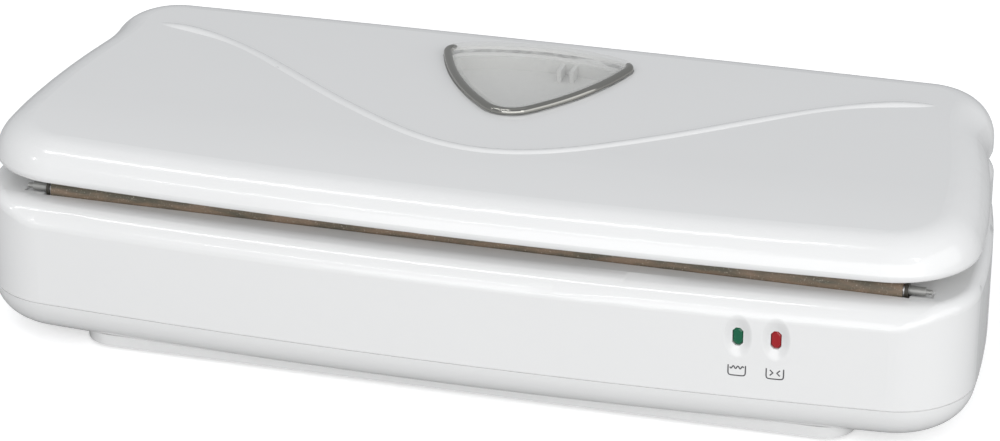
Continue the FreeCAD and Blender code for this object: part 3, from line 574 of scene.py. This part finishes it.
def travelled(path: np.ndarray) -> np.ndarray:
    """Length along a path.

    Args:
        path: points of the path.

    Returns:
        Distance from the start to each point.
    """
    return np.concatenate([[0.0], np.cumsum(np.linalg.norm(np.diff(path, axis=0), axis=1))])


def tube(path: np.ndarray, side: np.ndarray, out: np.ndarray, wide: float, thick: float,
         turns: int = 12) -> tuple[np.ndarray, np.ndarray]:
    """Closed tube of elliptic section along a path.

    P(s, t) = path(s) + wide cos(t) side(s) + thick sin(t) out(s), shrunk to END_SHARE at both ends.

    Args:
        path: points of the middle line.
        side: unit vectors across the path.
        out: unit vectors away from the ground surface.
        wide: half width.
        thick: half thickness.
        turns: points round the section.

    Returns:
        Vertices and quads.
    """
    t = np.linspace(0.0, 2.0 * np.pi, turns, endpoint=False)
    ring = wide * np.cos(t)[None, :, None] * side[:, None] + thick * np.sin(t)[None, :, None] * out[:, None]
    grow = np.ones(len(path) + 2)
    grow[[0, -1]] = END_SHARE
    rows = np.concatenate([[0], np.arange(len(path)), [len(path) - 1]])
    grid = path[rows][:, None] + ring[rows] * grow[:, None, None]
    row, col = np.meshgrid(np.arange(len(rows) - 1), np.arange(turns), indexing="ij")
    after = (col + 1) % turns
    here, there = row * turns, (row + 1) * turns
    quads = np.stack([here + col, here + after, there + after, there + col], -1)
    return grid.reshape(-1, 3), quads.reshape(-1, 4)


@dataclass
class Pictograms:
    """Two printed signs under the lamps: a bag with a wavy seal, a bag drawn in from both sides."""

    centres: tuple[float, float] = (LAMPS[0][0], LAMPS[1][0])
    height: float = 0.0302
    front: float = -0.0825
    bow: float = 2.15
    bag: tuple[float, float] = (0.0031, 0.0026)
    line: float = 0.00024
    proud: float = 0.00004
    wave_height: float = 0.0005
    wave_pitch: float = 3800.0
    wave_level: float = 0.0006
    arrow_half: float = 0.0011
    arrow_gap: float = 0.0007
    arrow_drop: float = 0.0002
    bag_arc: tuple[float, float] = (0.94, 2.06)
    bag_power: float = 6.0
    seal_share: float = 0.8

    def curve(self, flat: np.ndarray, centre: float) -> tuple[np.ndarray, np.ndarray]:
        """Stroke on the bowed front: (u, v) goes to (x, front + x^2 / (2 bow), z).

        Args:
            flat: points of the stroke about the sign's middle.
            centre: x of the sign's middle.

        Returns:
            Vertices and quads.
        """
        x = flat[:, 0] + centre
        path = np.stack([x, self.front + x ** 2 / (2.0 * self.bow), flat[:, 1] + self.height], 1)
        out = np.stack([x / self.bow, -np.ones_like(x), np.zeros_like(x)], 1)
        out /= np.linalg.norm(out, axis=1)[:, None]
        return tube(path, np.cross(direction(path), out), out, self.line, self.proud)

    def outline(self) -> np.ndarray:
        """Open bag with round corners, part of the superellipse |u / w|^power + |v / h|^power = 1.

        Returns:
            Points of the stroke.
        """
        w, h = self.bag
        t = np.linspace(np.pi * self.bag_arc[0], np.pi * self.bag_arc[1], 60)
        power = 2.0 / self.bag_power
        u = w * np.sign(np.cos(t)) * np.abs(np.cos(t)) ** power
        v = h * np.sign(np.sin(t)) * np.abs(np.sin(t)) ** power
        return np.stack([u, v], 1)

    def wave(self) -> np.ndarray:
        """Wavy seal across the bag, v = height sin(pitch u) + level.

        Returns:
            Points of the stroke.
        """
        u = np.linspace(-self.bag[0] * self.seal_share, self.bag[0] * self.seal_share, 50)
        return np.stack([u, self.wave_height * np.sin(u * self.wave_pitch) + self.wave_level], 1)

    def arrow(self, side: float) -> np.ndarray:
        """Chevron that points to the middle from one side, u = side (gap + |v|).

        Args:
            side: -1 for the left, 1 for the right.

        Returns:
            Points of the stroke.
        """
        v = np.linspace(-self.arrow_half, self.arrow_half, 21)
        return np.stack([side * (self.arrow_gap + np.abs(v)), v - self.arrow_drop], 1)

    def build(self) -> None:
        """Make both signs."""
        ink = INK.material()
        bag = self.outline()
        drawings = ([bag, self.wave()], [bag, self.arrow(-1.0), self.arrow(1.0)])
        for name, centre, strokes in zip(("sign_seal", "sign_vacuum"), self.centres, drawings):
            mesh_piece(name, Body.BASE, [self.curve(flat, centre) for flat in strokes], ink)


@dataclass
class WindowBead:
    """Rounded bright bead along the two front sides of the window, with sizes in millimetres."""

    tip: tuple[float, float, float] = (0.0, 10.0, 13.0)
    corner: tuple[float, float, float] = (29.5, 48.5, 8.0)
    side_radius: float = 110.0
    inset: float = 1.55
    height: float = 1.2
    half_wide: float = 1.7
    half_thick: float = 1.5
    round_end: float = 5.0
    corner_turn: float = 1.2
    least_near: float = 0.02
    roof: tuple[float, float] = (48.5, 82.768)
    slope: float = 0.0447
    hinge: tuple[float, float] = (77.9, 64.5)
    lift: float = 1.8

    def side_centre(self) -> np.ndarray:
        """Find the middle of the long side arc, which touches the tip and the corner arcs.

        Returns:
            Its x and y.
        """
        tip, corner = np.array(self.tip[:2]), np.array(self.corner[:2])
        near, far = self.side_radius - self.tip[2], self.side_radius - self.corner[2]
        gap = np.linalg.norm(corner - tip)
        along = (near ** 2 - far ** 2 + gap ** 2) / (2.0 * gap)
        unit = (corner - tip) / gap
        return tip + unit * along + np.array([-unit[1], unit[0]]) * math.sqrt(near ** 2 - along ** 2)

    def path(self) -> np.ndarray:
        """Plan of the bead from corner to corner round the tip, arcs of P(t) = c + r (cos t, sin t).

        Returns:
            Points of its middle line, x and y.
        """
        side = self.side_centre()
        to_tip = np.arctan2(*(np.array(self.tip[:2]) - side)[::-1])
        to_corner = np.arctan2(*(np.array(self.corner[:2]) - side)[::-1])
        arcs = ((self.tip[:2], self.tip[2], -np.pi / 2.0, to_tip, 24),
                (side, self.side_radius, to_tip, to_corner, 40),
                (self.corner[:2], self.corner[2], to_corner, to_corner + self.corner_turn, 16))
        half = np.concatenate([np.array(c) + (r - self.inset) * np.stack([np.cos(t), np.sin(t)], 1)
                               for c, r, a, b, n in arcs for t in [np.linspace(a, b, n, endpoint=False)]])
        return np.concatenate([half[:0:-1] * [-1.0, 1.0], half])

    def on_lid(self, flat: np.ndarray, height: float) -> np.ndarray:
        """Lay plan points on the sloping roof of the resting lid.

        Args:
            flat: x and y of the points.
            height: height above the roof.

        Returns:
            Points in metres.
        """
        y, z = flat[:, 1] - self.roof[0], np.full(len(flat), height)
        tilt = math.atan(self.slope)
        y, z = y * math.cos(tilt) - z * math.sin(tilt), y * math.sin(tilt) + z * math.cos(tilt)
        y, z = y + self.roof[0] - self.hinge[0], z + self.roof[1] - self.hinge[1]
        turn = -math.radians(self.lift)
        y, z = y * math.cos(turn) - z * math.sin(turn), y * math.sin(turn) + z * math.cos(turn)
        return np.stack([flat[:, 0], y + self.hinge[0], z + self.hinge[1]], 1) * MILLIMETRE

    def build(self, dresser: Dresser) -> None:
        """Make the bead in place of the plain band.

        Args:
            dresser: source of the finishes.
        """
        flat = self.path()
        path, above = self.on_lid(flat, self.height), self.on_lid(flat, self.height + 1.0)
        out = (above - path) / MILLIMETRE
        run = travelled(flat)
        near = np.clip(np.minimum(run, run[-1] - run) / self.round_end, self.least_near, 1.0)
        taper = np.sqrt(1.0 - (1.0 - near) ** 2)[:, None]
        across = np.cross(direction(path), out)
        parts = [tube(path, across * taper, out * taper, self.half_wide * MILLIMETRE,
                      self.half_thick * MILLIMETRE, 24)]
        bead = mesh_piece("window_bead", Body.LID, parts, dresser.finish("chrome_trim"))
        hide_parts("window_trim")


@dataclass
class SeamFill:
    """Tongue of the lower tray as it shows in the parting line round the base."""

    height: float = 0.019
    lowest: float = 0.01925
    slack: float = 0.00002
    recess: float = 0.00066
    half_tall: float = 0.00028
    half_deep: float = 0.00028
    samples: int = 1100
    least_lean: float = 0.35

    def outline(self) -> np.ndarray:
        """Closed ring of the housing's lowest outer points, in order of their angle about the middle.

        Returns:
            Points at even steps along the ring.
        """
        mesh = frame["nodes"]["upper_housing"].data
        points, normals = np.empty(len(mesh.vertices) * 3), np.empty(len(mesh.polygons) * 3)
        corners, sides = np.empty(len(mesh.loops), np.int64), np.empty(len(mesh.polygons), np.int64)
        mesh.vertices.foreach_get("co", points)
        mesh.polygons.foreach_get("normal", normals)
        mesh.polygons.foreach_get("loop_total", sides)
        mesh.loops.foreach_get("vertex_index", corners)
        points, normals = points.reshape(-1, 3), np.repeat(normals.reshape(-1, 3), sides, axis=0)
        spots = points[corners]
        lean = np.sum(spots[:, :2] * normals[:, :2], 1)
        outward = lean > self.least_lean * np.hypot(spots[:, 0], spots[:, 1])
        ring = np.unique(corners[outward & (np.abs(spots[:, 2] - self.lowest) < self.slack)])
        ring = points[ring[np.argsort(np.arctan2(points[ring, 1], points[ring, 0]))]]
        ring = np.concatenate([ring, ring[:1]])
        run = travelled(ring)
        even = np.linspace(0.0, run[-1], self.samples)
        return np.stack([np.interp(even, run, ring[:, axis]) for axis in range(3)], 1)

    def build(self, dresser: Dresser) -> None:
        """Lay the fill just inside the parting line.

        Args:
            dresser: source of the finishes.
        """
        path = self.outline() * [1.0, 1.0, 0.0] + [0.0, 0.0, self.height]
        up = np.tile([0.0, 0.0, 1.0], (len(path), 1))
        out = np.cross(direction(path), up)
        parts = [tube(path - out * self.recess, -up, out, self.half_tall, self.half_deep, 8)]
        mesh_piece("seam_fill", Body.BASE, parts, dresser.finish("white_shell"))


@dataclass
class Studio:
    """Floor, backdrop colour, lights and the camera."""

    azimuth: float = 15.5
    elevation: float = 25.5
    distance: float = 1.338
    lens: float = 129.6
    target: Point = (0.0, -0.030, 0.045)
    shift: tuple[float, float] = (0.0165, 0.0175)
    floor_size: float = 8.0
    floor_glow: float = 0.5
    backdrop: float = 1.05
    ambient: float = 0.49

    def camera(self) -> None:
        """Set the camera at the angle of the photograph."""
        data = bpy.data.cameras.new("photo_camera")
        data.lens = self.lens
        data.sensor_width = 36.0
        data.shift_x, data.shift_y = self.shift
        data.clip_end = 50.0
        made = bpy.data.objects.new("photo_camera", data)
        a, e = math.radians(self.azimuth), math.radians(self.elevation)
        look = Vector((-math.sin(a) * math.cos(e), math.cos(a) * math.cos(e), -math.sin(e)))
        made.location = Vector(self.target) - look * self.distance
        made.rotation_euler = look.to_track_quat("-Z", "Y").to_euler()
        bpy.context.scene.collection.objects.link(made)
        bpy.context.scene.camera = made

    def light(self, name: str, place: Point, aim: Point, size: tuple[float, float], power: float) -> None:
        """Add one soft light.

        Args:
            name: name of the light.
            place: where it stands.
            aim: point it faces.
            size: width and height.
            power: watts.
        """
        data = bpy.data.lights.new(name, "AREA")
        data.shape = "RECTANGLE"
        data.size, data.size_y = size
        data.energy = power
        made = bpy.data.objects.new(name, data)
        made.location = place
        made.rotation_euler = (Vector(aim) - Vector(place)).to_track_quat("-Z", "Y").to_euler()
        bpy.context.scene.collection.objects.link(made)

    def floor(self) -> None:
        """Lay the pale floor, white to the camera except in the shadow."""
        half = self.floor_size / 2
        mesh = bpy.data.meshes.new("floor")
        corners = [(-half, -half, 0), (half, -half, 0), (half, half, 0), (-half, half, 0)]
        mesh.from_pydata(corners, [], [(0, 1, 2, 3)])
        made = bpy.data.objects.new("floor", mesh)
        bpy.context.scene.collection.objects.link(made)
        sheet = Sheet.named("floor")
        dim = sheet.node("ShaderNodeBsdfDiffuse", None, {"Color": (0.55, 0.55, 0.55, 1.0)})
        matte = sheet.node("ShaderNodeBsdfDiffuse", None, {"Color": (0.86, 0.86, 0.86, 1.0)})
        light = {"Color": (1.0, 1.0, 1.0, 1.0), "Strength": self.floor_glow}
        glow = sheet.node("ShaderNodeEmission", None, light)
        both = sheet.node("ShaderNodeAddShader", None, {0: matte.outputs[0], 1: glow.outputs[0]})
        rays = sheet.node("ShaderNodeLightPath")
        layers = {0: rays.outputs["Is Camera Ray"], 1: dim.outputs[0], 2: both.outputs[0]}
        mesh.materials.append(sheet.close(sheet.node("ShaderNodeMixShader", None, layers).outputs[0]))

    def world(self) -> None:
        """White behind the object, soft grey for the light."""
        sheet = Sheet(bpy.data.worlds.new("studio"))
        rays = sheet.node("ShaderNodeLightPath")
        white, sky = (1.0, 1.0, 1.0, 1.0), (0.95, 0.97, 1.0, 1.0)
        seen = sheet.node("ShaderNodeBackground", None, {"Color": white, "Strength": self.backdrop})
        soft = sheet.node("ShaderNodeBackground", None, {"Color": sky, "Strength": self.ambient})
        layers = {0: rays.outputs["Is Camera Ray"], 1: soft.outputs[0], 2: seen.outputs[0]}
        mixed = sheet.node("ShaderNodeMixShader", None, layers)
        sheet.node("ShaderNodeOutputWorld", None, {"Surface": mixed.outputs[0]})
        bpy.context.scene.world = sheet.owner

    def build(self) -> None:
        """Set up the whole studio."""
        bpy.context.scene.view_settings.view_transform = "Standard"
        self.world()
        self.floor()
        self.light("front_softbox", (0.7, -2.4, 0.65), (0.0, 0.0, 0.04), (3.6, 1.8), 42.0)
        self.light("high_strip", (-0.6, -0.5, 1.7), (-0.6, -0.06, 0.07), (1.2, 0.08), 4.2)
        self.light("low_strip", (-0.5, -1.5, 1.15), (-0.5, -0.08, 0.06), (0.9, 0.04), 1.3)
        self.light("corner_spark", (-1.5, -0.9, 1.1), (-0.17, -0.06, 0.06), (0.12, 0.12), 0.9)
        self.light("top_softbox", (-0.3, 0.5, 2.2), (0.0, 0.0, 0.05), (1.6, 1.2), 0.9)
        self.light("side_fill", (2.2, -0.5, 0.8), (0.1, 0.0, 0.04), (2.4, 1.6), 13.5)
        self.light("corner_glint", (1.2, -1.0, 1.3), (0.17, -0.06, 0.06), (0.16, 0.12), 0.8)
        self.camera()


def main() -> None:
    """Dress the sealer, add the signs, the window bead and the seam fill, and set the studio."""
    dresser = Dresser()
    dresser.dress()
    Pictograms().build()
    WindowBead().build(dresser)
    SeamFill().build(dresser)
    Studio().build()


if __name__ == "__main__":
    main()
